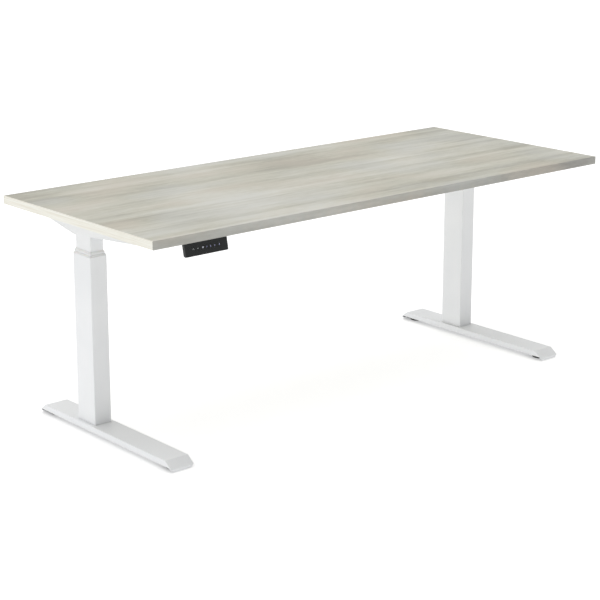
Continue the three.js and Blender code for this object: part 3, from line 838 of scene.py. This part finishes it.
def addClip(name, position, along, radius):
    # a nylon saddle over the lead with a foot each side against the underside
    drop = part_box("desktop_board")[0].z - position.z
    heading = Vector((along.x, along.y, 0)).normalized()
    across = Vector((-heading.y, heading.x, 0))
    inner, foot, sheet = radius + clip["gap"], radius + clip["foot"], clip["wall"]
    outer = inner + sheet
    turns = [math.pi * i / clip["steps"] for i in range(clip["steps"] + 1)]
    outline = [(-foot, drop), (-foot, drop - sheet), (-outer, drop - sheet)]
    outline += [(-outer * math.cos(a), -outer * math.sin(a)) for a in turns]
    outline += [(outer, drop - sheet), (foot, drop - sheet), (foot, drop), (inner, drop)]
    outline += [(inner * math.cos(a), -inner * math.sin(a)) for a in turns]
    outline += [(-inner, drop)]
    bm = bmesh.new()
    ends = []
    for shift in (-clip["halfLength"], clip["halfLength"]):
        ends.append([bm.verts.new(position + across * a + Vector((0, 0, z)) + heading * shift)
                     for a, z in outline])
    count = len(outline)
    for i in range(count):
        j = (i + 1) % count
        bm.faces.new((ends[0][i], ends[0][j], ends[1][j], ends[1][i]))
    bm.faces.new(ends[0])
    bm.faces.new(ends[1])
    newPiece(name, bm, "nylon", "top")


plug = {
    "halfWidth": 6.6 * mm, "halfHeight": 3.6 * mm, "front": 6.6 * mm, "rear": 9 * mm, "edge": 0.6 * mm,
}
boot = {
    "rings": 3, "pitch": 2 * mm, "start": 2 * mm, "overlap": 1 * mm,
    "base": 1.6 * mm,        # each of these stands out from the lead
    "groove": 0.5 * mm,
    "ring": 1.2 * mm,
    "taper": 0.2 * mm,       # each ring is this much lower than the one before
    "slope": 0.2 * mm,
    "around": 20,
}


def addPlug(name, end, radius):
    # the small latching connector at the control box end of a lead, and its ribbed boot
    bm = bmesh.new()
    boxInto(bm, (end.x - plug["halfWidth"], end.y - plug["rear"], end.z - plug["halfHeight"]),
            (end.x + plug["halfWidth"], end.y + plug["front"], end.z + plug["halfHeight"]))
    roundEdges(bm, plug["edge"], 2)
    newPiece(name, bm, "nylon", "top")
    base, groove = radius + boot["base"], radius + boot["groove"]
    profile = [(0, -boot["overlap"]), (base, -boot["overlap"]), (base, boot["start"])]
    for number in range(boot["rings"]):
        z = boot["start"] + number * boot["pitch"]
        ring = radius + boot["ring"] - number * boot["taper"]
        half = z + boot["pitch"] / 2
        profile += [(groove, z + boot["slope"]), (groove, half), (ring, half + boot["slope"]),
                    (ring, z + boot["pitch"])]
    profile += [(0, profile[-1][1])]
    bm = bmesh.new()
    place = aimed((end.x, end.y - plug["rear"], end.z), (0, -1, 0))
    turnedInto(bm, profile, place, boot["around"])
    newPiece(name + "_boot", bm, "jacket", "top")


# (radius, height) round the grommet's section
grommetSection = (
    (3.1 * mm, 0), (6.2 * mm, 0), (6.2 * mm, 1.2 * mm), (4.6 * mm, 2 * mm), (3.1 * mm, 2 * mm),
)


def addGrommet(side, sign):
    # the rubber ring where the motor lead passes the bracket's inner wall
    low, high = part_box(side + "_side_bracket")
    wall = high.x if sign < 0 else low.x
    bm = bmesh.new()
    ringInto(bm, grommetSection, aimed((wall, *leads["grommetYZ"]), (-sign, 0, 0)))
    newPiece(side + "_grommet", bm, "jacket", "top")


def addClips(name, path, shares, radius):
    for number, share in enumerate(shares, 1):
        i = int(share * (len(path) - 1))
        addClip(f"{name}_clip_{number}", path[i], path[i + 1] - path[i], radius)


def addLeads():
    radius = leads["motorRadius"]
    for side, sign in sides.items():
        route = [(sign * x, y, z) for x, y, z in motorLeadRoute]
        path = addLead(side + "_motor_cable", route, radius, "motor_lead_" + side)
        addClips(side + "_motor", path, leads["motorClips"], radius)
        addPlug(side + "_motor_plug", path[-1], radius)
        addGrommet(side, sign)
    radius = leads["thinRadius"]
    path = addLead("handset_cable", handsetLeadRoute, radius, "handset_lead")
    addClips("handset", path, leads["handsetClips"], radius)
    addPlug("handset_plug", path[-1], radius)


addLeads()
print("stage: leads, clips and plugs made")


# control panel

panel = {
    "faceRadius": 0.35 * mm,
    "bodyRadius": 0.9 * mm,
    "keyRadius": 0.25 * mm,
    "symbolHeight": 4.6 * mm,
    "chevronRise": 0.3,       # shares of the height, each way from the middle
    "chevronReach": 0.5,
    "letterSize": 6.21 * mm,  # the lettering's capitals are about three quarters of this
    "symbolLift": 0.05 * mm,
    "symbolHalfThick": 0.03 * mm,
    "stroke": 0.55 * mm,
}
symbols = {
    "key_up": ("chevronUp", "symbolDim"), "key_down": ("chevronDown", "symbolDim"),
    "key_store": ("M", "symbolWhite"), "key_1": ("1", "symbolBlue"), "key_2": ("2", "symbolBlue"),
    "key_3": ("3", "symbolBlue"), "key_4": ("4", "symbolBlue"),
}


def faceFrame():
    # the panel's own axes: x along the desk, y up the lean, z out of the face
    joint = next(j for j in frame["joints"] if j["name"] == "key_up_press")
    outward = -Vector(joint["axis"]).normalized()
    along = Vector((1, 0, 0))
    return along, outward.cross(along).normalized(), outward


def letterMesh(text):
    # the built-in lettering as a flat outline, turned into faces
    curve = bpy.data.curves.new("letter", "FONT")
    curve.body = text
    curve.size = panel["letterSize"]
    curve.align_x = "CENTER"
    curve.align_y = "CENTER"
    curve.extrude = panel["symbolHalfThick"]
    holder = bpy.data.objects.new("letter", curve)
    bpy.context.scene.collection.objects.link(holder)
    graph = bpy.context.evaluated_depsgraph_get()
    mesh = bpy.data.meshes.new_from_object(holder.evaluated_get(graph))
    bpy.data.objects.remove(holder)
    bpy.data.curves.remove(curve)
    return mesh


def chevronInto(bm, pointsUp):
    height, half = panel["symbolHeight"], panel["symbolHalfThick"]
    rise = height * panel["chevronRise"] * (1 if pointsUp else -1)
    wide = height * panel["chevronReach"]
    slant = panel["stroke"] / 2 * math.hypot(wide, 2 * rise) / wide
    outline = [(-wide, -rise - slant), (0, rise - slant), (wide, -rise - slant),
               (wide, -rise + slant), (0, rise + slant), (-wide, -rise + slant)]
    layers = [[bm.verts.new((x, y, z)) for x, y in outline] for z in (-half, half)]
    for i in range(6):
        j = (i + 1) % 6
        bm.faces.new((layers[0][i], layers[0][j], layers[1][j], layers[1][i]))
    for layer in layers:
        bm.faces.new((layer[0], layer[1], layer[4], layer[5]))
        bm.faces.new((layer[1], layer[2], layer[3], layer[4]))


def capMiddle(key, up, outward):
    # the middle of a key's outer face: halfway up the lean and as far out as the key goes
    low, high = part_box(key)
    middle = (low + high) / 2
    points = [vertex.co for vertex in nodes[key].data.vertices]
    middle += outward * (max(point.dot(outward) for point in points) - middle.dot(outward))
    reach = [point.dot(up) for point in points]
    return middle + up * ((min(reach) + max(reach)) / 2 - middle.dot(up))


def addPanel():
    along, up, outward = faceFrame()
    turn = Matrix((along, up, outward)).transposed().to_4x4()
    finishNode("handset_face", "top", "acrylic", panel["faceRadius"],
               segments=2, corner=50)
    finishNode("handset_body", "top", "blackAbs", panel["bodyRadius"])
    for key, (symbol, finish) in symbols.items():
        body = key + "_body"
        finishNode(key, body, "acrylic", panel["keyRadius"], segments=2, corner=50)
        bm = bmesh.new()
        if symbol.startswith("chevron"):
            chevronInto(bm, symbol == "chevronUp")
        else:
            bm.from_mesh(letterMesh(symbol))
            bmesh.ops.remove_doubles(bm, verts=bm.verts, dist=cleaning["letterMerge"])
        middle = capMiddle(key, up, outward) + outward * panel["symbolLift"]
        bmesh.ops.transform(bm, matrix=Matrix.Translation(middle) @ turn, verts=bm.verts)
        newPiece(key + "_symbol", bm, finish, body, sharpAngle=30)


addPanel()
print("stage: control panel made")


# studio

studio = {
    "floorSize": 60.0,
    "floorColour": "D7D7D7",
    "floorGap": 0.2 * mm,
    # the paper glows, so that broad shadows on it stay faint, and glows less within reach of a piece,
    # which paints a contact shadow round and under the feet
    "floorGlow": (0.24, 0.55),
    "paintedShadowReach": 0.05,
    # brightness of the studio's right, rear and upper sides, and of its left, front and lower ones
    "rightRearCeiling": (0.72, 1.2, 0.64),
    "leftFrontUnder": (0.86, 0.27, 0.5),
    "plainStrength": 1.2,
    "keyDirection": (0.0, 0.0, -1.0),
    "keyStrength": 0.95,
    "keySpread": 60,
}


def addFloor():
    bm = bmesh.new()
    half = studio["floorSize"] / 2
    bm.faces.new([bm.verts.new((x, y, 0)) for x, y in (
        (-half, -half), (half, -half), (half, half), (-half, half))])
    mesh = bpy.data.meshes.new("floor")
    bm.to_mesh(mesh)
    bm.free()
    floor = bpy.data.objects.new("floor", mesh)
    bpy.context.scene.collection.objects.link(floor)
    floor.location.z = cadBox[0].z - studio["floorGap"]
    material, tree, shader, place = newMaterial("glowPaperPaintedShadow", {
        "Base Color": hexColour(studio["floorColour"]), "Roughness": 0.9, "Specular IOR Level": 0.1,
        "Emission Color": (1, 1, 1, 1),
    })
    # the glow is lessened near any piece: a painted contact shadow
    clear = addNode(tree, "ShaderNodeAmbientOcclusion", {"Distance": studio["paintedShadowReach"]},
                    samples=8).outputs["AO"]
    near, far = studio["floorGlow"]
    glow = addNode(tree, "ShaderNodeMapRange", {"Value": clear, "To Min": near, "To Max": far})
    tree.links.new(glow.outputs["Result"], shader.inputs["Emission Strength"])
    mesh.materials.append(material)


def addSky():
    # each side of the studio has its own brightness, blended by the square of the direction
    world = bpy.data.worlds.new("studioSky")
    bpy.context.scene.world = world
    world.use_nodes = True
    tree = world.node_tree
    tree.nodes.clear()
    direction = addNode(tree, "ShaderNodeTexCoord").outputs["Generated"]
    flipped = addNode(tree, "ShaderNodeVectorMath", {0: direction, "Scale": -1.0},
                      operation="SCALE").outputs["Vector"]
    halves = []
    for towards, brightness in ((direction, studio["rightRearCeiling"]),
                                (flipped, studio["leftFrontUnder"])):
        positive = addNode(tree, "ShaderNodeVectorMath", {0: towards, 1: (0, 0, 0)},
                           operation="MAXIMUM").outputs["Vector"]
        squared = addNode(tree, "ShaderNodeVectorMath", {0: positive, 1: positive},
                          operation="MULTIPLY").outputs["Vector"]
        halves.append(addNode(tree, "ShaderNodeVectorMath", {0: squared, 1: brightness},
                              operation="DOT_PRODUCT").outputs["Value"])
    total = addNode(tree, "ShaderNodeMath", {0: halves[0], 1: halves[1]}, operation="ADD")
    light = addNode(tree, "ShaderNodeBackground", {
        "Color": (1, 1, 1, 1), "Strength": total.outputs["Value"]})
    # seen directly, the studio is plain white on every side
    seen = addNode(tree, "ShaderNodeBackground", {
        "Color": (1, 1, 1, 1), "Strength": studio["plainStrength"]})
    direct = addNode(tree, "ShaderNodeLightPath").outputs["Is Camera Ray"]
    sky = addNode(tree, "ShaderNodeMixShader", {
        0: direct, 1: light.outputs["Background"], 2: seen.outputs["Background"]})
    addNode(tree, "ShaderNodeOutputWorld", {"Surface": sky.outputs["Shader"]})


def addKeyLight():
    light = bpy.data.lights.new("keyLight", "SUN")
    light.energy = studio["keyStrength"]
    light.angle = math.radians(studio["keySpread"])
    lamp = bpy.data.objects.new("keyLight", light)
    lamp.rotation_euler = (-Vector(studio["keyDirection"])).to_track_quat("Z", "Y").to_euler()
    bpy.context.scene.collection.objects.link(lamp)


cameraSettings = {
    "location": (-3.3787, -3.8397, 1.7369),
    "heading": 40.774,      # degrees from +Y towards +X
    "down": 13.808,
    "lens": 100.05,         # millimetres, on a sensor this wide
    "sensor": 36,
    "shiftY": -0.1,
}


def addCamera():
    values = cameraSettings
    data = bpy.data.cameras.new("studioCamera")
    data.lens = values["lens"]
    data.sensor_width = values["sensor"]
    data.shift_y = values["shiftY"]
    camera = bpy.data.objects.new("studioCamera", data)
    camera.location = values["location"]
    camera.rotation_euler = (math.radians(90 - values["down"]), 0, -math.radians(values["heading"]))
    bpy.context.scene.collection.objects.link(camera)
    bpy.context.scene.camera = camera


addFloor()
addSky()
addKeyLight()
addCamera()
bpy.context.scene.view_settings.view_transform = "Standard"
print("stage: studio ready")
